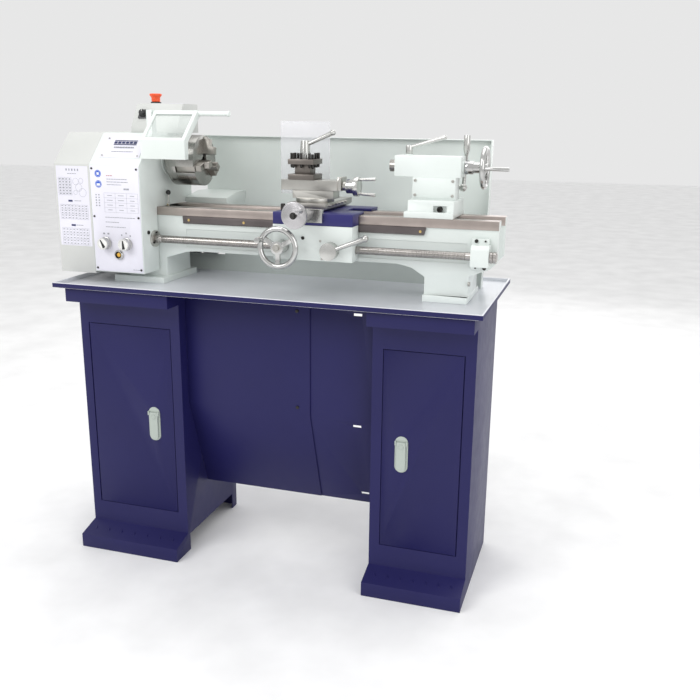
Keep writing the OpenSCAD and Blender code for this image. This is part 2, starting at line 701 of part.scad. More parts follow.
module tailstock_handwheel() color("silver") bench() {
    rod_x(5, [800, 906], axis_y, axis_z);
    rod_x(6, [905, 978], axis_y, axis_z);
    rod_x(15, [934.3, 954], axis_y, axis_z);
    rod_x(12, [953, 984], axis_y, axis_z);
    translate([979, axis_y, axis_z]) rotate([0, 90, 0])
        rotate_extrude($fn = 96) translate([42, 0]) circle(6, $fn = 32);
    for (a = [0, 120, 240]) translate([979, axis_y, axis_z]) rotate([a, 0, 0])
        slab([-4, 4], [-5, 5], [10, 38]);
    rod_x(3, [979, 990], axis_y - 42, axis_z);
    arm([988, axis_y - 42, axis_z], [1038, axis_y - 42, axis_z], 4, 5);
}
module tailstock_clamp_lever() color("silver") bench() {
    rod_x(5, [882, 925], 190, 946);
    translate([925, 190, 946]) sphere(9);
    arm([925, 190, 946], [929, 190, 1022], 4.5, 4);
    arm([929, 190, 1018], [929, 190, 1032], 4, 7.5);
    rod_z(7.5, 929, 190, [1032, 1064]);
}

left_cabinet();
right_cabinet();
left_knee_panel();
right_knee_panel();
chip_tray();
left_door();
left_latch();
right_door();
right_latch();
bed();
feed_rack();
headstock();
front_plates();
feed_gearbox();
sight_glass();
switch_box();
emergency_button();
speed_knob();
range_knob();
feed_knob();
end_cover();
spindle_bearings();
spindle();
spindle_pulley();
motor();
motor_pulley();
drive_belt();
gear_banjo();
idler_gear();
leadscrew();
leadscrew_gear();
leadscrew_bracket();
chuck_body();
chuck_scroll();
chuck_jaw_1();
chuck_jaw_2();
chuck_jaw_3();
chuck_guard();
guard_window();
splash_guard();
machine_screws();
saddle();
apron();
cross_feed_bearing();
carriage_handwheel();
half_nut_lever();
cross_slide();
cross_slide_handwheel();
compound_base();
compound_slide();
compound_handwheel();
tool_post();
tool_post_lever();
tool_shield();
tailstock_base();
tailstock_body();
quill();
quill_lock_lever();
tailstock_handwheel();
tailstock_clamp_lever();
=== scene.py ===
import json
import math
import random
import bpy
from mathutils import Matrix, Vector


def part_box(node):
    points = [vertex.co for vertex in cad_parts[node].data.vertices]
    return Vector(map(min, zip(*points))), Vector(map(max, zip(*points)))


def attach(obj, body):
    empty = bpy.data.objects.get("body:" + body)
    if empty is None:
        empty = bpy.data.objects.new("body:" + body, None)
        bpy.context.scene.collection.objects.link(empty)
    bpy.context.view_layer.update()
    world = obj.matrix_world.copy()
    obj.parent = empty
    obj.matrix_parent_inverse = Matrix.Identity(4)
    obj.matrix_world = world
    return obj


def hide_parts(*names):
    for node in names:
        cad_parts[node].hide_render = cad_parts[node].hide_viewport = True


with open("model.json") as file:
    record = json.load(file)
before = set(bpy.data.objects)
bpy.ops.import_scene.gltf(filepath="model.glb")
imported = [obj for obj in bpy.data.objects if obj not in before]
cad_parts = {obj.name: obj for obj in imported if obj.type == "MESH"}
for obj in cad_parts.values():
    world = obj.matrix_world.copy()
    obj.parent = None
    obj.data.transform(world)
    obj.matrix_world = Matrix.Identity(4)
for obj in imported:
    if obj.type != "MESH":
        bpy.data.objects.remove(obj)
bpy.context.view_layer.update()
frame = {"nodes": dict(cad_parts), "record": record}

mm = 0.001


# small helpers

def boxOf(node):
    low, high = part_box(node)
    return Vector(low), Vector(high)


def deselectAll():
    if bpy.context.object and bpy.context.object.mode != "OBJECT":
        bpy.ops.object.mode_set(mode="OBJECT")
    bpy.ops.object.select_all(action="DESELECT")


def pick(obj):
    deselectAll()
    obj.select_set(True)
    bpy.context.view_layer.objects.active = obj
    return obj


def justAdded(name):
    obj = bpy.context.object
    obj.name = name
    obj.data.name = name
    return obj


def settle(obj):
    # the place goes into the mesh, so the object sits at the origin
    pick(obj)
    bpy.ops.object.transform_apply(location=True, rotation=True, scale=True)
    return obj


def editAll(obj, work):
    pick(obj)
    bpy.ops.object.mode_set(mode="EDIT")
    bpy.ops.mesh.select_all(action="SELECT")
    work()
    bpy.ops.object.mode_set(mode="OBJECT")
    return obj


def roundEdges(obj, width, segments=2, angle=34):
    pick(obj)
    bevel = obj.modifiers.new("softEdges", "BEVEL")
    bevel.width = width
    bevel.segments = segments
    bevel.limit_method = "ANGLE"
    bevel.angle_limit = math.radians(angle)
    bevel.use_clamp_overlap = True
    bevel.harden_normals = False
    bpy.ops.object.modifier_apply(modifier=bevel.name)
    return obj


def smooth(obj, angle=32):
    pick(obj)
    bpy.ops.object.shade_smooth_by_angle(angle=math.radians(angle))
    return obj


def paintWith(obj, material):
    obj.data.materials.clear()
    obj.data.materials.append(material)
    return obj


def joined(name, objs):
    deselectAll()
    for obj in objs:
        obj.select_set(True)
    bpy.context.view_layer.objects.active = objs[0]
    if len(objs) > 1:
        bpy.ops.object.join()
    return justAdded(name)


def finishPiece(obj, material, body, node=None):
    paintWith(obj, material)
    settle(obj)
    if node:
        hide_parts(*([node] if isinstance(node, str) else node))
    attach(obj, body)
    return obj


def off(node, x, y, z):
    # a place in millimetres from a frame part's lowest corner
    return boxOf(node)[0] + Vector((x, y, z)) * mm


def standOn(obj, start, toward):
    # what was modelled upwards from the origin is turned and moved to its place
    obj.rotation_euler = Vector(toward).to_track_quat("Z", "Y").to_euler()
    obj.location = start
    return settle(obj)


def turned(name, stations, sides=48):
    # a disc drawn out station by station, each given as (height, radius) in millimetres
    deselectAll()
    height, radius = stations[0]
    bpy.ops.mesh.primitive_circle_add(vertices=sides, radius=radius * mm, fill_type="NGON",
                                      location=(0, 0, height * mm))
    obj = settle(justAdded(name))
    bpy.ops.object.mode_set(mode="EDIT")
    bpy.ops.mesh.select_all(action="SELECT")
    for newHeight, newRadius in stations[1:]:
        bpy.ops.mesh.extrude_region_move(
            TRANSFORM_OT_translate={"value": (0, 0, (newHeight - height) * mm)})
        grow = newRadius / radius
        bpy.ops.transform.resize(value=(grow, grow, 1), center_override=(0, 0, newHeight * mm))
        height, radius = newHeight, newRadius
    bpy.ops.mesh.select_all(action="SELECT")
    bpy.ops.mesh.normals_make_consistent(inside=False)
    bpy.ops.object.mode_set(mode="OBJECT")
    return obj


def block(name, low, high, width=0.6):
    # a block between two corners, with its edges rounded
    deselectAll()
    low, high = Vector(low), Vector(high)
    bpy.ops.mesh.primitive_cube_add(size=1, location=(low + high) / 2)
    obj = justAdded(name)
    obj.scale = high - low
    settle(obj)
    return roundEdges(obj, width * mm)


def copyOf(obj, name, matrix):
    twin = bpy.data.objects.new(name, obj.data.copy())
    twin.data.transform(matrix)
    bpy.context.collection.objects.link(twin)
    return twin


def remove(obj):
    bpy.data.objects.remove(obj, do_unlink=True)


def paintWhere(obj, material, test):
    # a second finish on the faces that pass the test on their middle and direction
    obj.data.materials.append(material)
    index = len(obj.data.materials) - 1
    for face in obj.data.polygons:
        if test(face.center, face.normal):
            face.material_index = index
    return obj


def capScrew(name, place, toward, radius, height, body, material):
    # socket head screw
    screw = turned(name, [(-0.3, radius), (height * 0.88, radius), (height, radius * 0.9),
                          (height, radius * 0.55), (height * 0.4, radius * 0.5)], 24)
    smooth(standOn(screw, place, toward))
    return finishPiece(screw, material, body)


# materials

def newMaterial(name, color, metallic=0.0, roughness=0.5):
    mat = bpy.data.materials.new(name)
    mat.use_nodes = True
    shader = mat.node_tree.nodes["Principled BSDF"]
    shader.inputs["Base Color"].default_value = (*color, 1)
    shader.inputs["Metallic"].default_value = metallic
    shader.inputs["Roughness"].default_value = roughness
    return mat, mat.node_tree, shader


def objectCoords(tree, scale=(1, 1, 1), location=(0, 0, 0)):
    coords = tree.nodes.new("ShaderNodeTexCoord")
    mapping = tree.nodes.new("ShaderNodeMapping")
    mapping.inputs["Scale"].default_value = scale
    mapping.inputs["Location"].default_value = location
    tree.links.new(coords.outputs["Object"], mapping.inputs["Vector"])
    return mapping.outputs["Vector"]


def noise(tree, vector, scale, detail=3.0, rough=0.5):
    node = tree.nodes.new("ShaderNodeTexNoise")
    node.inputs["Scale"].default_value = scale
    node.inputs["Detail"].default_value = detail
    node.inputs["Roughness"].default_value = rough
    tree.links.new(vector, node.inputs["Vector"])
    return node.outputs["Fac"]


def ramp(tree, factor, stops):
    node = tree.nodes.new("ShaderNodeValToRGB")
    first, last = node.color_ramp.elements
    first.position, first.color = stops[0][0], (*stops[0][1], 1)
    last.position, last.color = stops[-1][0], (*stops[-1][1], 1)
    for place, color in stops[1:-1]:
        node.color_ramp.elements.new(place).color = (*color, 1)
    tree.links.new(factor, node.inputs["Fac"])
    return node.outputs["Color"]


def spread(tree, factor, low, high):
    node = tree.nodes.new("ShaderNodeMapRange")
    node.inputs["To Min"].default_value = low
    node.inputs["To Max"].default_value = high
    tree.links.new(factor, node.inputs["Value"])
    return node.outputs["Result"]


def bumpFrom(tree, shader, height, distance, strength=1.0):
    node = tree.nodes.new("ShaderNodeBump")
    node.inputs["Distance"].default_value = distance
    node.inputs["Strength"].default_value = strength
    tree.links.new(height, node.inputs["Height"])
    tree.links.new(node.outputs["Normal"], shader.inputs["Normal"])


def shade(color, factor):
    return tuple(min(1.0, c * factor) for c in color)


def sprayedPaint(name, color, grain=700, bump=0.00005, rough=(0.28, 0.42), coat=0.3, shine=0.5):
    mat, tree, shader = newMaterial(name, color)
    coords = objectCoords(tree)
    cloud = noise(tree, coords, 5.5, 4)
    tree.links.new(ramp(tree, cloud, [(0.3, shade(color, 0.93)), (0.7, shade(color, 1.04))]),
                   shader.inputs["Base Color"])
    tree.links.new(spread(tree, noise(tree, coords, 38, 5), *rough), shader.inputs["Roughness"])
    bumpFrom(tree, shader, noise(tree, coords, grain, 2), bump)
    shader.inputs["Specular IOR Level"].default_value = shine
    shader.inputs["Coat Weight"].default_value = coat
    shader.inputs["Coat Roughness"].default_value = 0.15
    return mat


def streakedSteel(name, color, stretch, rough=(0.22, 0.42), bump=0.00002):
    # grinding or brushing marks run along the axis with the small stretch value
    mat, tree, shader = newMaterial(name, color, metallic=1.0)
    marks = noise(tree, objectCoords(tree, stretch), 1.0, 5, 0.6)
    stain = noise(tree, objectCoords(tree), 14, 4)
    tree.links.new(ramp(tree, stain, [(0.3, shade(color, 0.82)), (0.7, shade(color, 1.1))]),
                   shader.inputs["Base Color"])
    tree.links.new(spread(tree, marks, *rough), shader.inputs["Roughness"])
    bumpFrom(tree, shader, marks, bump)
    return mat


def turnedSteel(name, color, axis, centre, rough=(0.16, 0.36), pitch=1500, bump=0.00002):
    # fine rings about an axis, as a cutting tool leaves them
    mat, tree, shader = newMaterial(name, color, metallic=1.0)
    keep = [0 if i == axis else 1 for i in range(3)]
    coords = objectCoords(tree, tuple(keep), tuple(-c * k for c, k in zip(centre, keep)))
    length = tree.nodes.new("ShaderNodeVectorMath")
    length.operation = "LENGTH"
    tree.links.new(coords, length.inputs[0])
    along = tree.nodes.new("ShaderNodeSeparateXYZ")
    tree.links.new(objectCoords(tree), along.inputs[0])
    place = tree.nodes.new("ShaderNodeCombineXYZ")
    tree.links.new(length.outputs["Value"], place.inputs[0])
    tree.links.new(along.outputs[axis], place.inputs[1])
    rings = noise(tree, place.outputs[0], pitch, 2)
    stain = noise(tree, objectCoords(tree), 20, 4)
    tree.links.new(ramp(tree, stain, [(0.3, shade(color, 0.84)), (0.7, shade(color, 1.08))]),
                   shader.inputs["Base Color"])
    tree.links.new(spread(tree, rings, *rough), shader.inputs["Roughness"])
    bumpFrom(tree, shader, rings, bump)
    return mat


def plainPlastic(name, color, rough=0.4, grain=900, bump=0.00004):
    mat, tree, shader = newMaterial(name, color, roughness=rough)
    coords = objectCoords(tree)
    tree.links.new(ramp(tree, noise(tree, coords, 60, 3),
                        [(0.3, shade(color, 0.9)), (0.7, shade(color, 1.08))]),
                   shader.inputs["Base Color"])
    tree.links.new(spread(tree, noise(tree, coords, 90, 3), rough - 0.08, rough + 0.1),
                   shader.inputs["Roughness"])
    bumpFrom(tree, shader, noise(tree, coords, grain, 2), bump)
    return mat


def clearSheet(name, tint, alpha):
    mat, tree, shader = newMaterial(name, tint, roughness=0.08)
    smear = noise(tree, objectCoords(tree), 25, 4)
    tree.links.new(spread(tree, smear, 0.04, 0.16), shader.inputs["Roughness"])
    tree.links.new(ramp(tree, smear, [(0.3, shade(tint, 0.95)), (0.7, tint)]),
                   shader.inputs["Base Color"])
    shader.inputs["Alpha"].default_value = alpha
    shader.inputs["IOR"].default_value = 1.49
    return mat


spindleLow, spindleHigh = boxOf("spindle")
spindleAxis = (0, (spindleLow.y + spindleHigh.y) / 2, (spindleLow.z + spindleHigh.z) / 2)
bluePaint = sprayedPaint("indigo_powder_coat", (0.0125, 0.0115, 0.082), 620, 0.00005,
                         (0.38, 0.52), 0.0, 0.3)
saddlePaint = sprayedPaint("saddle_blue_enamel", (0.020, 0.018, 0.135), 500, 0.00004,
                           (0.3, 0.42), 0.1, 0.4)
machineWhite = sprayedPaint("machine_white_enamel", (0.735, 0.785, 0.755), 420, 0.00006)
castWhite = sprayedPaint("casting_white_enamel", (0.74, 0.79, 0.765), 160, 0.00018)
coverGrey = sprayedPaint("textured_grey_paint", (0.60, 0.61, 0.59), 900, 0.00016,
                         (0.5, 0.65), 0.0)
trayPaint = sprayedPaint("tray_light_enamel", (0.70, 0.715, 0.76), 300, 0.00004, (0.3, 0.5))
motorPaint = sprayedPaint("motor_grey_enamel", (0.11, 0.12, 0.13), 400, 0.0001)
plateFace = sprayedPaint("printed_plate_face", (0.76, 0.75, 0.83), 1200, 0.00001, (0.35, 0.5))
grindX = streakedSteel("ground_ways", (0.46, 0.40, 0.37), (14, 2600, 2600))
plainSteel = streakedSteel("milled_steel", (0.50, 0.49, 0.46), (30, 1500, 1500))
millY = streakedSteel("milled_steel_cross", (0.52, 0.50, 0.47), (1500, 30, 1500))
darkSteel = streakedSteel("blackened_steel", (0.07, 0.068, 0.065), (60, 900, 900), (0.35, 0.6))
rackSteel = streakedSteel("rack_steel", (0.16, 0.14, 0.14), (40, 1600, 1600), (0.3, 0.5))
chuckSteel = turnedSteel("turned_chuck_steel", (0.36, 0.355, 0.335), 0, spindleAxis)
jawSteel = streakedSteel("ground_jaw_steel", (0.38, 0.36, 0.33), (900, 900, 900))
toolSteel = streakedSteel("tool_post_steel", (0.20, 0.18, 0.165), (60, 900, 900), (0.3, 0.5))
quillSteel = turnedSteel("quill_steel", (0.34, 0.33, 0.31), 0, spindleAxis)
blackScrew = streakedSteel("blackened_screws", (0.055, 0.052, 0.050), (500, 500, 500), (0.3, 0.5))
wheelChrome = streakedSteel("polished_wheel", (0.55, 0.55, 0.54), (90, 90, 90), (0.06, 0.18),
                            0.000005)
turnedWheel = turnedSteel("turned_wheel_face", (0.52, 0.51, 0.52), 1,
                          tuple(off("cross_slide_handwheel", 30, 0, 30)))
satinChrome = streakedSteel("satin_chrome", (0.58, 0.58, 0.56), (200, 200, 200), (0.16, 0.3))
screwSteel = turnedSteel("turned_shaft_steel", (0.46, 0.44, 0.42), 0,
                         (0, *list((boxOf("leadscrew")[0] + boxOf("leadscrew")[1]) / 2)[1:]))
zincPaint = sprayedPaint("latch_zinc", (0.42, 0.47, 0.43), 500, 0.00008, (0.4, 0.55), 0.0)
blackPlastic = plainPlastic("black_plastic", (0.012, 0.012, 0.013))
beltRubber = plainPlastic("belt_rubber", (0.02, 0.02, 0.02), 0.7, 500, 0.0002)
redPlastic = plainPlastic("stop_button_plastic", (0.88, 0.10, 0.025), 0.3)
oilAmber = plainPlastic("oil_amber", (0.75, 0.42, 0.05), 0.12)
greyInk = plainPlastic("grey_ink", (0.30, 0.31, 0.34), 0.6)
redInk = plainPlastic("red_ink", (0.45, 0.10, 0.08), 0.6)
whiteInk = plainPlastic("white_ink", (0.80, 0.80, 0.78), 0.5)
darkPlate = plainPlastic("dark_dial_plate", (0.06, 0.06, 0.065), 0.45)
blueInk = plainPlastic("blue_ink", (0.02, 0.10, 0.55), 0.5)
navyInk = plainPlastic("navy_ink", (0.012, 0.02, 0.10), 0.5)
brassFace = streakedSteel("brass_face", (0.72, 0.52, 0.22), (200, 200, 200))
clearPanel = clearSheet("clear_polycarbonate", (0.86, 0.86, 0.90), 0.30)
clearGuard = clearSheet("clear_guard_sheet", (0.80, 0.86, 0.83), 0.28)
print("materials ready")


# camera, light and floor

view = {"place": (0.7721, -1.9449, 1.0930), "turn": (74.789, -0.627, 17.421), "lens": 43.40}
cameraData = bpy.data.cameras.new("camera")
cameraData.lens = view["lens"]
cameraData.sensor_width = 36
cameraData.clip_end = 60
camera = bpy.data.objects.new("camera", cameraData)
camera.location = view["place"]
camera.rotation_euler = [math.radians(a) for a in view["turn"]]
bpy.context.collection.objects.link(camera)
bpy.context.scene.camera = camera

world = bpy.data.worlds.new("studio")
bpy.context.scene.world = world
world.use_nodes = True
world.node_tree.nodes["Background"].inputs["Color"].default_value = (1.0, 1.0, 1.0, 1)
world.node_tree.nodes["Background"].inputs["Strength"].default_value = 0.80
bpy.context.scene.view_settings.view_transform = "Standard"

softBoxes = {
    "key": ((-1.6, -2.6, 2.9), (0, 0, 0.75), 2.0, 52),
    "fill": ((2.6, -1.8, 1.8), (0, 0, 0.6), 2.2, 20),
    "top": ((0.2, 0.6, 3.2), (0, 0, 0.8), 2.4, 26),
    "back": ((0.4, 3.0, 2.0), (0, 0, 0.7), 2.4, 16),
}
for name, (place, target, size, power) in softBoxes.items():
    lampData = bpy.data.lights.new(name, "AREA")
    lampData.size = size
    lampData.energy = power
    lamp = bpy.data.objects.new(name, lampData)
    lamp.location = place
    lamp.rotation_euler = (Vector(target) - Vector(place)).to_track_quat("-Z", "Y").to_euler()
    bpy.context.collection.objects.link(lamp)

deselectAll()
bpy.ops.mesh.primitive_plane_add(size=30, location=(0, 0, -0.0005))
floor = justAdded("studio_floor")
floorPaint = sprayedPaint("pale_floor", (0.93, 0.93, 0.93), 90, 0.00002, (0.6, 0.75), 0.0, 0.1)
paintWith(floor, floorPaint)
print("camera and lights ready")


# castings, sheets and shafts from the frame

bodyOf = {node: body for body, nodes in frame["record"]["behaviour"]["bodies"].items()
          for node in nodes}


def softened(node, width, material, segments=2):
    # a clean copy of a frame part with its sharp edges rounded over
    source = frame["nodes"][node]
    obj = bpy.data.objects.new(node + "_finished", source.data.copy())
    bpy.context.collection.objects.link(obj)

    def clean():
        bpy.ops.mesh.remove_doubles(threshold=0.00002)
        bpy.ops.mesh.dissolve_limited(angle_limit=math.radians(1.0))
    editAll(obj, clean)
    roundEdges(obj, width * mm, segments)
    smooth(obj)
    return finishPiece(obj, material, bodyOf[node], node)


finishes = {
    "left_cabinet": (1.6, bluePaint), "right_cabinet": (1.6, bluePaint),
    "left_knee_panel": (0.6, bluePaint), "right_knee_panel": (0.6, bluePaint),
    "left_door": (0.9, bluePaint), "right_door": (0.9, bluePaint),
    "left_latch": (1.6, zincPaint), "right_latch": (1.6, zincPaint),
    "chip_tray": (1.2, trayPaint), "bed": (2.0, castWhite), "feed_rack": (0.3, rackSteel),
    "headstock": (3.0, castWhite), "front_plates": (0.4, plateFace),
    "feed_gearbox": (2.0, castWhite), "switch_box": (2.2, coverGrey),
    "end_cover": (2.4, coverGrey), "spindle_bearings": (0.6, plainSteel),
    "spindle": (0.8, chuckSteel), "spindle_pulley": (0.6, darkSteel),
    "motor_pulley": (0.6, darkSteel), "drive_belt": (0.6, beltRubber),
    "gear_banjo": (1.0, darkSteel), "idler_gear": (0.3, plainSteel),
    "leadscrew_gear": (0.3, plainSteel), "leadscrew_bracket": (2.0, castWhite),
    "chuck_body": (1.0, chuckSteel), "chuck_scroll": (0.5, darkSteel),
    "chuck_jaw_1": (0.8, jawSteel), "chuck_jaw_2": (0.8, jawSteel),
    "chuck_jaw_3": (0.8, jawSteel), "chuck_guard": (0.8, machineWhite),
    "guard_window": (0.4, clearGuard), "splash_guard": (0.6, machineWhite),
    "machine_screws": (0.4, blackScrew), "saddle": (1.6, saddlePaint), "apron": (2.0, castWhite),
    "cross_feed_bearing": (1.5, satinChrome), "half_nut_lever": (1.0, satinChrome),
    "cross_slide": (0.8, millY), "cross_slide_handwheel": (0.8, turnedWheel),
    "compound_base": (0.8, plainSteel), "compound_slide": (0.8, plainSteel),
    "compound_handwheel": (0.8, satinChrome), "tool_post_lever": (1.0, satinChrome),
    "tool_shield": (0.5, clearPanel), "tailstock_base": (1.6, castWhite),
    "tailstock_body": (2.2, castWhite), "quill": (0.6, quillSteel),
    "quill_lock_lever": (0.8, satinChrome), "tailstock_handwheel": (0.8, wheelChrome),
    "tailstock_clamp_lever": (0.8, satinChrome), "carriage_handwheel": (0.8, wheelChrome),
}
made = {node: softened(node, width, material) for node, (width, material) in finishes.items()}

trayLow, trayHigh = boxOf("chip_tray")
trayBand = {"white": 4.5, "wall": 3.0}    # rim left white, depth of the outer wall's faces
paintWhere(made["chip_tray"], bluePaint,
           lambda mid, normal: mid.z < trayHigh.z - trayBand["white"] * mm
           and (normal.z < -0.5 or min(mid.x - trayLow.x, trayHigh.x - mid.x, mid.y - trayLow.y,
                                       trayHigh.y - mid.y) < trayBand["wall"] * mm))
wayBottom = off("bed", 0, 0, 167.4).z
paintWhere(made["bed"], grindX, lambda mid, normal: mid.z > wayBottom)
flangeDepth = 5.5
flangeX = boxOf("feed_gearbox")[1].x - flangeDepth * mm
paintWhere(made["feed_gearbox"], plainSteel, lambda mid, normal: mid.x > flangeX)
for side in ("left", "right"):
    latchBack = boxOf(side + "_latch")[1].y
    paintWhere(made[side + "_door"], zincPaint,
               lambda mid, normal, y=latchBack: mid.y < y + 2.1 * mm)
rackLow, rackHigh = boxOf("feed_rack")
screwReach = 5    # how far the rack's screws stand out of it
paintWhere(made["machine_screws"], brassFace, lambda mid, normal: rackLow.x < mid.x < rackHigh.x
           and rackLow.z < mid.z < rackHigh.z
           and rackLow.y - screwReach * mm < mid.y < rackHigh.y)
print("frame parts finished")


# stand

crescent = {"count": 7, "radius": 13.0, "thick": 2.4, "arc": 62, "inset": 26, "up": 31,
            "slope": 14.9, "lean": 22, "stepHigh": 35}


def makeCrescents(node):
    # raised grip marks along the sloping foot step
    deselectAll()
    bpy.ops.mesh.primitive_torus_add(major_radius=crescent["radius"] * mm,
                                     minor_radius=crescent["thick"] * mm,
                                     major_segments=72, minor_segments=10)
    ring = settle(justAdded("crescent"))
    half = math.radians(crescent["arc"] / 2)
    for turn in (half, -half):
        bpy.ops.object.mode_set(mode="EDIT")
        bpy.ops.mesh.select_all(action="SELECT")
        cut = (-math.sin(turn), math.cos(turn), 0)
        bpy.ops.mesh.bisect(plane_co=(0, 0, 0), plane_no=cut, use_fill=True,
                            clear_outer=turn > 0, clear_inner=turn < 0)
        bpy.ops.object.mode_set(mode="OBJECT")
    for vertex in ring.data.vertices:
        swing = abs(math.atan2(vertex.co.y, vertex.co.x)) / half
        reach = Vector((vertex.co.x, vertex.co.y, 0))
        middle = reach.normalized() * crescent["radius"] * mm
        slim = math.sqrt(max(0.04, 1 - swing * swing))
        vertex.co = middle + (Vector((vertex.co.x, vertex.co.y, 0)) - middle) * slim \
            + Vector((-crescent["radius"] * mm, 0, vertex.co.z * slim * 0.5))
    low, high = boxOf(node)
    slope = math.radians(crescent["slope"])
    room = (high.x - low.x) - 2 * crescent["inset"] * mm
    marks = []
    for i in range(crescent["count"]):
        at = Vector((low.x + crescent["inset"] * mm + room * i / (crescent["count"] - 1),
                     low.y + crescent["up"] * mm * math.cos(slope),
                     low.z + crescent["stepHigh"] * mm + crescent["up"] * mm * math.sin(slope)))
        lean = Matrix.Rotation(math.radians(crescent["lean"]), 4, "Z")
        tilt = Matrix.Rotation(slope, 4, "X")
        marks.append(copyOf(ring, f"crescent_{i}", Matrix.Translation(at) @ tilt @ lean))
    remove(ring)
    piece = joined(node + "_grip_marks", marks)
    smooth(piece, 60)
    finishPiece(piece, bluePaint, bodyOf[node])


for node in ("left_cabinet", "right_cabinet"):
    makeCrescents(node)

for side in ("left", "right"):
    low, high = boxOf(side + "_latch")
    lock = turned(side + "_latch_key", [(0, 6.2), (1.2, 6.2), (1.7, 5.6), (1.7, 4.4),
                                         (1.1, 4.2)], 32)
    smooth(standOn(lock, ((low.x + high.x) / 2, low.y + 0.2 * mm, low.z + 62 * mm), (0, -1, 0)))
    finishPiece(lock, zincPaint, side + "_latch")
print("stand detailed")


# printed plates

wordDice = random.Random(11)


def words(left, right, low, tall=1.5):
    # a line of short bars that stands for a line of small print
    line = []
    at = left
    while at < right - 1.5:
        wide = wordDice.uniform(2.4, 7.5)
        line.append((at, low, min(at + wide, right), low + tall))
        at += wide + 1.1
    return line


def grid(left, low, wide, tall, columns, rows, line=0.35):
    across = [(left + wide * i / columns - line / 2, low, left + wide * i / columns + line / 2,
               low + tall) for i in range(columns + 1)]
    up = [(left, low + tall * i / rows - line / 2, left + wide, low + tall * i / rows + line / 2)
          for i in range(rows + 1)]
    return across + up


def cells(left, low, wide, tall, columns, rows, share=0.55, high=1.3):
    # a small mark in the middle of each cell of a table
    marks = []
    for i in range(columns):
        for k in range(rows):
            middle = left + wide * (i + 0.5) / columns
            half = wide / columns * share / 2 * wordDice.uniform(0.7, 1.0)
            base = low + tall * (k + 0.5) / rows - high / 2
            marks.append((middle - half, base, middle + half, base + high))
    return marks


def inkSheet(name, marks, corner, tilt, material, body, thick=0.18):
    # marks are (left, low, right, high) in millimetres from the plate's corner
    deselectAll()
    bpy.ops.mesh.primitive_cube_add(size=1, location=(0.5, 0.5, 0.5))
    patch = settle(justAdded("patch"))
    turn = Matrix.Translation(corner) @ Matrix.Rotation(math.radians(tilt), 4, "X")
    patches = []
    for i, (left, low, right, high) in enumerate(marks):
        size = Matrix.Diagonal(((right - left) * mm, (high - low) * mm, thick * mm, 1))
        patches.append(copyOf(patch, f"patch_{i}",
                              turn @ Matrix.Translation((left * mm, low * mm, 0)) @ size))
    remove(patch)
    return finishPiece(joined(name, patches), material, body)


def discs(name, rounds, corner, tilt, material, body, thick=0.25, sides=40):
    # rounds are (x, z, radius) in millimetres from the plate's corner
    turn = Matrix.Translation(corner) @ Matrix.Rotation(math.radians(tilt), 4, "X")
    made = []
    for i, (x, z, radius) in enumerate(rounds):
        disc = turned(f"disc_{i}", [(0, radius), (thick, radius),
                                    (thick + 0.02, radius * 0.97)], sides)
        disc.data.transform(turn @ Matrix.Translation((x * mm, z * mm, 0)))
        made.append(disc)
    return finishPiece(joined(name, made), material, body)


def rings(name, rounds, corner, tilt, material, body):
    turn = Matrix.Translation(corner) @ Matrix.Rotation(math.radians(tilt), 4, "X")
    made = []
    for i, (x, z, radius) in enumerate(rounds):
        deselectAll()
        bpy.ops.mesh.primitive_torus_add(major_radius=radius * mm, minor_radius=0.28 * mm,
                                         major_segments=44, minor_segments=8)
        ring = settle(justAdded(f"ring_{i}"))
        ring.data.transform(turn @ Matrix.Translation((x * mm, z * mm, 0)))
        made.append(ring)
    return finishPiece(joined(name, made), material, body)


upright, sloping = 90, 46.2
plateCorner = off("front_plates", 0, -0.05, 0)
controlTable = {"left": 35, "low": 144, "wide": 92, "tall": 46, "columns": 3, "rows": 4}
controlText = (words(44.5, 102, 222) + words(44.5, 102, 215.5) + words(44.5, 84, 209)
               + words(35, 116, 131) + words(35, 72, 119.5) + words(35, 90, 108)
               + grid(*controlTable.values()) + cells(*controlTable.values())
               + cells(9, 156, 16, 32, 2, 5, 0.5, 3.0) + words(90, 104, 198, 4)
               + [(26, 90, 31, 94), (38, 90, 43, 94), (76, 88, 79, 92), (88, 93, 91, 97),
                  (99, 87, 102, 91)] + words(104, 122, 6, 1.2))
inkSheet("control_print", controlText, plateCorner, upright, greyInk, "stand_and_bed")
inkSheet("control_warning_line", words(44.5, 60, 230), plateCorner, upright, redInk,
         "stand_and_bed")
signs = {"x": 21.5, "high": 235, "low": 210.5, "radius": 8.6}
discs("control_signs", [(signs["x"], signs["high"], signs["radius"]),
                        (signs["x"], signs["low"], signs["radius"])],
      plateCorner, upright, blueInk, "stand_and_bed")
rings("control_sign_rings", [(signs["x"], signs["high"], 6.8), (signs["x"], signs["low"], 6.8)],
      plateCorner - Vector((0, 0.27 * mm, 0)), upright, whiteInk, "stand_and_bed")
inkSheet("control_sign_marks", [(18.5, 232, 24.5, 238), (17, 206.5, 26, 212)],
         plateCorner - Vector((0, 0.27 * mm, 0)), upright, whiteInk, "stand_and_bed")

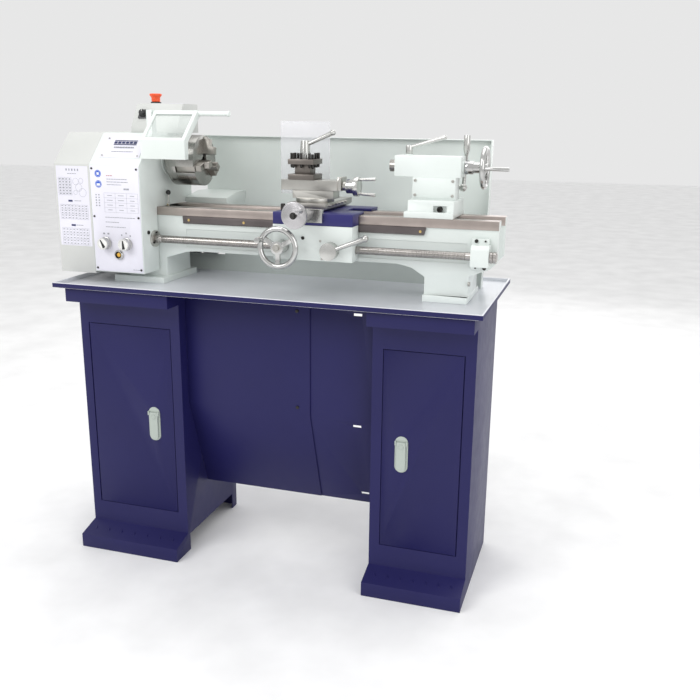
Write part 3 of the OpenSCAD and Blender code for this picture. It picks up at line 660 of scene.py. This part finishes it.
coverCorner = off("end_cover", 0, -0.05, 0)
inkSheet("cover_label", [(4.5, 66, 93.5, 259)], coverCorner, upright, plateFace, "end_cover", 0.12)
coverPrint = (cells(30, 246, 40, 8, 5, 1, 0.5, 5) + words(36, 62, 240)
              + grid(9, 189, 37, 42, 4, 6) + cells(9, 189, 37, 42, 4, 6, 0.6, 3.2)
              + words(51, 72, 175) + grid(10, 131, 78, 35, 8, 3)
              + cells(10, 131, 78, 35, 8, 6, 0.5, 2.2)
              + words(52, 72, 116) + grid(11, 68, 76, 41, 8, 3)
              + cells(11, 68, 76, 41, 8, 6, 0.5, 2.2))
inkSheet("cover_print", coverPrint, coverCorner - Vector((0, 0.12 * mm, 0)), upright, greyInk,
         "end_cover")
inkSheet("cover_print_titles", [(34, 173, 46, 177.5), (38, 114, 50, 118.5)],
         coverCorner - Vector((0, 0.12 * mm, 0)), upright, navyInk, "end_cover")
rings("cover_gear_drawing",
      [(58, 222, 8), (73, 224, 6), (66, 208, 9), (76, 196, 10), (56, 196, 5)],
      coverCorner - Vector((0, 0.12 * mm, 0)), upright, greyInk, "end_cover")

slopeCorner = off("front_plates", 19, 15.4, 272)
slopeSet = Vector((0, -0.722, 0.692)) * 1.38 * mm
barBlocks = [(24 + 10.6 * i, 44, 32 + 10.6 * i, 50) for i in range(6)]
inkSheet("name_plate_bar", [(24, 40, 86, 42), (24, 52, 86, 54)] + barBlocks,
         slopeCorner + slopeSet, sloping, navyInk, "stand_and_bed", 0.3)
inkSheet("name_plate_lines", words(28, 82, 30, 4) + words(26, 84, 18, 1.6), slopeCorner + slopeSet,
         sloping, greyInk, "stand_and_bed")
discs("name_plate_rivets", [(5, 6, 2.1), (101, 6, 2.1), (5, 60, 2.1), (101, 60, 2.1)],
      slopeCorner + slopeSet, sloping, plainSteel, "stand_and_bed", 0.9, 20)
print("plates printed")


# controls

knob = {"grip": 13.4, "skirt": 15.0, "long": 17.0, "ribs": 24}


def selectorKnob(node, lean):
    low, high = boxOf(node)
    body = turned(node + "_body", [(0, knob["skirt"]), (1.6, knob["skirt"]), (2.6, knob["grip"]),
                                   (16.2, knob["grip"]), (knob["long"], knob["grip"] - 0.9),
                                   (knob["long"], knob["grip"] - 2.6),
                                   (knob["long"] - 0.8, knob["grip"] - 2.8)], knob["ribs"] * 2)
    pick(body)
    bpy.ops.object.mode_set(mode="EDIT")
    bpy.ops.mesh.select_all(action="DESELECT")
    bpy.ops.object.mode_set(mode="OBJECT")
    for face in body.data.polygons:
        turn = math.degrees(math.atan2(face.center.y, face.center.x)) % 360
        face.select = abs(face.normal.z) < 0.2 and face.center.z > 5 * mm \
            and int(turn / (180 / knob["ribs"])) % 2 == 0
    bpy.ops.object.mode_set(mode="EDIT")
    bpy.ops.mesh.extrude_faces_move(TRANSFORM_OT_shrink_fatten={"value": 0.7 * mm})
    bpy.ops.object.mode_set(mode="OBJECT")
    deselectAll()
    bpy.ops.mesh.primitive_cube_add(size=1, location=(0, 0, (knob["long"] - 0.4) * mm))
    pointer = justAdded(node + "_pointer")
    pointer.scale = (7.5 * mm, 21 * mm, 2.4 * mm)
    settle(pointer)
    for vertex in pointer.data.vertices:
        if vertex.co.y > 0:
            vertex.co.x *= 0.22
    pointer.data.transform(Matrix.Rotation(math.radians(lean), 4, "Z"))
    roundEdges(pointer, 0.4 * mm)
    front = Vector(((low.x + high.x) / 2, low.y + knob["long"] * mm, (low.z + high.z) / 2))
    upward = Matrix.Translation(front) @ Matrix.Rotation(math.radians(90), 4, "X")
    for part, material in ((body, satinChrome), (pointer, blackPlastic)):
        part.data.transform(upward)
        smooth(part)
        finishPiece(part, material, node, node if part is body else None)
    faceY = front.y - (knob["long"] - 1.2) * mm
    paintWhere(body, whiteInk, lambda mid, normal: mid.y < faceY and normal.y < -0.9)


selectorKnob("range_knob", 28)
selectorKnob("feed_knob", 6)

glassLow, glassHigh = boxOf("sight_glass")
glassAt = ((glassLow.x + glassHigh.x) / 2, glassLow.y + 6.0 * mm, (glassLow.z + glassHigh.z) / 2)
bezel = turned("sight_glass_bezel", [(0, 12), (3.4, 12), (5.4, 11), (6, 10.2), (6, 8.6),
                                     (2.6, 8.2)], 48)
smooth(standOn(bezel, glassAt, (0, -1, 0)))
finishPiece(bezel, satinChrome, "stand_and_bed", "sight_glass")
paintWhere(bezel, blackPlastic, lambda mid, normal: mid.y > glassAt[1] - 4.6 * mm
           and (mid.x - glassAt[0]) ** 2 + (mid.z - glassAt[2]) ** 2 < (8.5 * mm) ** 2)
lens = turned("sight_glass_lens", [(2, 5.6), (3.2, 5.4), (4.2, 4.2), (4.8, 2.2), (5, 0.6)], 40)
finishPiece(smooth(standOn(lens, glassAt, (0, -1, 0)), 60), oilAmber, "stand_and_bed")

stopLow, stopHigh = boxOf("emergency_button")
stopTall = 20
stopAt = Vector(((stopLow.x + stopHigh.x) / 2, (stopLow.y + stopHigh.y) / 2,
                 stopHigh.z - stopTall * mm))
stop = turned("emergency_button_cap", [(-0.4, 10), (0.6, 11), (9, 11), (11, 11.6), (13.4, 13.6),
                                       (15, 15.2), (18.4, 15.5), (19.5, 14.6), (20, 12.4)], 64)
finishPiece(smooth(standOn(stop, stopAt, (0, 0, 1))), redPlastic, "emergency_button",
            "emergency_button")
collar = turned("emergency_button_collar", [(-3.4, 13.2), (-1.2, 13.2), (-0.6, 12.6),
                                            (-0.6, 11.3)], 48)
finishPiece(smooth(standOn(collar, stopAt, (0, 0, 1))), blackPlastic, "stand_and_bed")

dialLow, dialHigh = boxOf("speed_knob")
dialWay = Vector((0, -0.860, 0.510))
dialAt = (dialLow + dialHigh) / 2 + dialWay * -2.6 * mm
dial = turned("speed_knob_grip", [(0, 10), (1.8, 10), (2.6, 8.4), (9.2, 7.8), (10, 7.0)], 36)
finishPiece(smooth(standOn(dial, dialAt, dialWay)), blackPlastic, "speed_knob",
            "speed_knob")
mark = block("speed_knob_mark", (-0.6 * mm, 1.5 * mm, 9.8 * mm),
             (0.6 * mm, 7.4 * mm, 10.3 * mm), 0.1)
finishPiece(standOn(mark, dialAt, dialWay), whiteInk, "speed_knob")
dialPlate = block("speed_knob_plate", (-12.5 * mm, -12.5 * mm, -2.2 * mm),
                  (12.5 * mm, 12.5 * mm, -0.6 * mm), 0.5)
finishPiece(smooth(standOn(dialPlate, dialAt, dialWay)), darkPlate, "stand_and_bed")
boxLabel = block("switch_box_label", off("switch_box", 92, 35, 71),
                 off("switch_box", 126, 47, 71.6), 0.2)
finishPiece(boxLabel, plateFace, "stand_and_bed")
print("controls made")


# leadscrew

thread = {"pitch": 3.0, "crest": 9.4, "root": 8.3, "from": 212, "to": 966, "steps": 20}


def makeLeadscrew():
    low, high = boxOf("leadscrew")
    axis = Vector((low.x, (low.y + high.y) / 2, (low.z + high.z) / 2))
    deselectAll()
    bpy.ops.mesh.primitive_plane_add(size=mm,
                                     location=(thread["from"] * mm, 0, thread["root"] * mm))
    screw = settle(justAdded("leadscrew_thread"))
    bpy.ops.object.mode_set(mode="EDIT")
    bpy.ops.mesh.select_all(action="SELECT")
    bpy.ops.mesh.merge(type="CENTER")
    for along, rise in ((0.18, 0), (0.16, 1), (0.34, 0), (0.16, -1), (0.16, 0)):
        step = (along * thread["pitch"] * mm, 0, rise * (thread["crest"] - thread["root"]) * mm)
        bpy.ops.mesh.extrude_vertices_move(TRANSFORM_OT_translate={"value": step})
    bpy.ops.object.mode_set(mode="OBJECT")
    wind = screw.modifiers.new("wind", "SCREW")
    wind.axis = "X"
    wind.screw_offset = thread["pitch"] * mm
    wind.iterations = int((thread["to"] - thread["from"]) / thread["pitch"])
    wind.steps = wind.render_steps = thread["steps"]
    wind.use_merge_vertices = True
    wind.merge_threshold = 0.00001
    bpy.ops.object.modifier_apply(modifier=wind.name)

    def close():
        bpy.ops.mesh.remove_doubles(threshold=0.00001)
        bpy.ops.mesh.select_all(action="DESELECT")
        bpy.ops.mesh.select_non_manifold(extend=False)
        bpy.ops.mesh.fill()
        bpy.ops.mesh.select_all(action="SELECT")
        bpy.ops.mesh.normals_make_consistent(inside=False)
    editAll(screw, close)
    end = (high.x - low.x) / mm
    shafts = [turned("leadscrew_left", [(0.5, 8.6), (1.4, 9.4), (211, 9.4), (214, 9.0),
                                        (216, 7.6)], 40),
              turned("leadscrew_collar", [(196.8, 9.9), (197.4, 10.6), (208, 10.6),
                                          (208.8, 9.9)], 40),
              turned("leadscrew_right", [(962, 7.6), (964, 9.0), (966, 9.4), (end - 1, 9.4),
                                         (end, 8.6)], 40)]
    for start in (1016.5, 1024.5):
        shafts.append(turned("leadscrew_nut", [(start, 12.2), (start + 0.8, 13), (start + 6.2, 13),
                                               (start + 7, 12.2)], 14))
    for shaft in shafts:
        standOn(shaft, (0, 0, 0), (1, 0, 0))
    screw = joined("leadscrew_finished", [screw] + shafts)
    screw.data.transform(Matrix.Translation(axis))
    smooth(screw, 35)
    return finishPiece(screw, screwSteel, "leadscrew", "leadscrew")


makeLeadscrew()
print("leadscrew threaded")


# tool post

post = {"size": 63, "core": 38, "base": (0, 12.9), "waist": (12, 36), "top": (34.9, 46.9),
        "screwIn": 25.5, "screwStep": 20}


def makeToolPost():
    low, high = boxOf("tool_post")
    middle = Vector(((low.x + high.x) / 2, (low.y + high.y) / 2, low.z))
    slabs = []
    for name, wide in (("base", "size"), ("waist", "core"), ("top", "size")):
        half = post[wide] / 2
        bottom, top = post[name]
        slabs.append(block("post_" + name, middle + Vector((-half, -half, bottom)) * mm,
                           middle + Vector((half, half, top)) * mm, 1.1))
    body = joined("tool_post_finished", slabs)
    smooth(body)
    finishPiece(body, toolSteel, "tool_post", "tool_post")
    shank = turned("post_screw", [(27.6, 1.6), (29.4, 3.1), (47, 3.3), (47.4, 3.9),
                                  (48.6, 3.9)], 20)
    head = turned("post_screw_head", [(48.4, 3.4), (49, 3.8), (60.0, 3.8), (60.8, 3.2)], 4)
    screw = joined("post_screw", [shank, head])
    heights = random.Random(5)
    screws = []
    for quarter in range(4):
        for k in (-1, 0, 1):
            rise = heights.uniform(-2.6, 0.0) * mm
            place = Matrix.Rotation(math.radians(90 * quarter), 4, "Z") \
                @ Matrix.Translation((k * post["screwStep"] * mm, -post["screwIn"] * mm, rise)) \
                @ Matrix.Rotation(heights.uniform(0, 1.5), 4, "Z")
            screws.append(copyOf(screw, "post_screw_copy", Matrix.Translation(middle) @ place))
    remove(screw)
    piece = joined("tool_post_screws", screws)
    smooth(roundEdges(piece, 0.25 * mm, 1, 50))
    finishPiece(piece, blackScrew, "tool_post")


makeToolPost()
print("tool post made")


# wheels, dials and small fasteners

def ticks(name, axisPoint, toward, radius, count, wide, long, body, startAt):
    # division lines round a dial
    deselectAll()
    bpy.ops.mesh.primitive_cube_add(size=1, location=(radius * mm, 0, (startAt + long / 2) * mm))
    line = justAdded("tick")
    line.scale = (0.24 * mm, wide * mm, long * mm)
    settle(line)
    marks = []
    for i in range(count):
        marks.append(copyOf(line, "tick_copy", Matrix.Rotation(math.tau * i / count, 4, "Z")))
    remove(line)
    piece = joined(name, marks)
    standOn(piece, axisPoint, toward)
    return finishPiece(piece, navyInk, body)


def middleOf(node):
    low, high = boxOf(node)
    return (low + high) / 2


crossAt = off("cross_slide_handwheel", 30, 0, 30)
ticks("cross_dial_lines", crossAt, (0, 1, 0), 14.05, 40, 0.3, 5, "cross_slide_handwheel", 50)
compoundAt = Vector((boxOf("compound_handwheel")[0].x, middleOf("compound_handwheel").y,
                     middleOf("compound_handwheel").z))
ticks("compound_dial_lines", compoundAt, (1, 0, 0), 16.05, 40, 0.3, 6, "compound_handwheel", 28)
quillDialAt = Vector((off("tailstock_handwheel", 0, 0, 0).x, spindleAxis[1], spindleAxis[2]))
ticks("quill_dial_lines", quillDialAt, (1, 0, 0), 15.05, 40, 0.3, 5, "tailstock_handwheel", 136)


def hubNut(name, place, toward, radius, body, material):
    washer = turned(name + "_washer", [(-0.4, radius * 1.45), (1.2, radius * 1.45),
                                       (1.6, radius * 1.35), (1.6, radius * 0.9)], 36)
    nut = turned(name + "_nut", [(1.2, radius), (6.2, radius), (7.2, radius * 0.86),
                                 (7.2, radius * 0.5), (6.4, radius * 0.45)], 6)
    piece = joined(name, [washer, nut])
    smooth(standOn(piece, place, toward))
    return finishPiece(piece, material, body)


wheelAt = off("carriage_handwheel", 49.3, 23.0, 49.5)
hubNut("carriage_wheel_nut", wheelAt, (0, -1, 0), 7, "carriage_handwheel", plainSteel)
hubNut("cross_wheel_nut", off("cross_slide_handwheel", 30, 20.2, 30), (0, -1, 0), 5.4,
       "cross_slide_handwheel", darkSteel)

screws = {
    # name: (place, direction, radius, height, body, finish)
    "apron_screw": (off("apron", 74, 0, 51), (0, -1, 0), 3.8, 2.5, "carriage", blackScrew),
    "saddle_lock_bolt": (off("saddle", 14, 30, 40), (0, 0, 1), 5.5, 16, "carriage", blackScrew),
    "half_nut_screw_1": (off("apron", 116, 0, 46), (0, -1, 0), 2.6, 2, "carriage", plainSteel),
    "half_nut_screw_2": (off("apron", 120, 0, 5), (0, -1, 0), 2.6, 2, "carriage", plainSteel),
    "setover_screw": (off("tailstock_base", 80, 18, 51), (0, -1, 0), 6.4, 9, "tailstock",
                      blackScrew),
    "gearbox_plug": (off("feed_gearbox", 135.5, 27, 98), (1, 0, 0), 4.6, 3, "stand_and_bed",
                     blackScrew),
    "foot_bolt": (off("bed", 909, 26, 45), (1, 0, 0), 5.0, 5, "stand_and_bed", plainSteel),
}
for name, (place, way, radius, height, body, material) in screws.items():
    capScrew(name, place, way, radius, height, body, material)

tailPlate = {"left": 41, "right": 142, "low": 3.5, "high": 48, "inset": 6}
bodyLow = boxOf("tailstock_body")[0]
facePlate = block("tailstock_plate",
                  bodyLow + Vector((tailPlate["left"] + 3, -1.3, tailPlate["low"])) * mm,
                  bodyLow + Vector((tailPlate["right"], 0.4, tailPlate["high"])) * mm, 0.5)
finishPiece(smooth(facePlate), castWhite, "tailstock")
for i in range(4):
    x = (tailPlate["left"] + 9, tailPlate["right"] - tailPlate["inset"])[i % 2]
    z = (tailPlate["low"] + tailPlate["inset"], tailPlate["high"] - tailPlate["inset"])[i // 2]
    capScrew(f"tailstock_plate_screw_{i}", bodyLow + Vector((x, -1.2, z)) * mm,
             (0, -1, 0), 3.4, 1.6, "tailstock", plainSteel)

pin = {"thick": 1.6, "tall": 27, "ball": 6.2}
pinAt = off("headstock", 146, 114, 13)
stem = turned("gear_shift_stem", [(0, pin["thick"]), (pin["tall"], pin["thick"])], 20)
finishPiece(smooth(standOn(stem, pinAt, (0, 0, 1))), plainSteel, "stand_and_bed")
ballStations = [(pin["tall"] - 1 + pin["ball"] * (1 - math.cos(math.pi * k / 12)),
                 pin["ball"] * math.sin(math.pi * k / 12)) for k in range(2, 12)]
ball = turned("gear_shift_knob", ballStations, 32)
finishPiece(smooth(standOn(ball, pinAt, (0, 0, 1)), 60), blackPlastic, "stand_and_bed")
oiler = turned("ball_oiler", [(0, 3.4), (2.2, 3.4), (2.8, 2.6), (2.8, 1.4), (3.6, 0.8)], 24)
finishPiece(smooth(standOn(oiler, off("headstock", 135.6, 128, 12), (1, 0, 0))), brassFace,
            "stand_and_bed")
print("wheels and fasteners made")


# motor

cooling = {"fins": 9, "from": 18, "step": 14, "tall": 4.0, "thick": 3.0, "cover": 36}


def makeMotor():
    low, high = boxOf("motor")
    long = (high.x - low.x) / mm
    radius = 57.0
    axis = Vector((low.x, high.y - 61 * mm, high.z - 61 * mm))
    barrel = [(0, 29), (1, 30), (13, 30), (13, radius - 3), (15, radius)]
    for i in range(cooling["fins"]):
        at = cooling["from"] + cooling["step"] * i
        barrel += [(at, radius), (at + 0.4, radius + cooling["tall"]),
                   (at + cooling["thick"], radius + cooling["tall"]),
                   (at + cooling["thick"] + 0.4, radius)]
    coverFrom = long - cooling["cover"]
    barrel += [(coverFrom, radius), (coverFrom, radius + 3.6), (long - 5, radius + 3.6),
               (long - 1.4, radius + 1.2), (long, radius - 3), (long, 14), (long - 3, 13)]
    can = turned("motor_can", barrel, 72)
    smooth(standOn(can, axis, (1, 0, 0)))
    foot = block("motor_foot", off("motor", 28, 0.1, 41), off("motor", 128, 8, 123), 1.2)
    stay = block("motor_stay", off("motor", 38, 6, 47), off("motor", 118, 39, 75), 1.2)
    box = block("motor_terminal_box", off("motor", 60, 60, 112),
                off("motor", 120, 110, 122.8), 2.0)
    piece = joined("motor_finished", [can, foot, stay, box])
    smooth(piece)
    finishPiece(piece, motorPaint, "stand_and_bed", "motor")


makeMotor()
print("motor made")
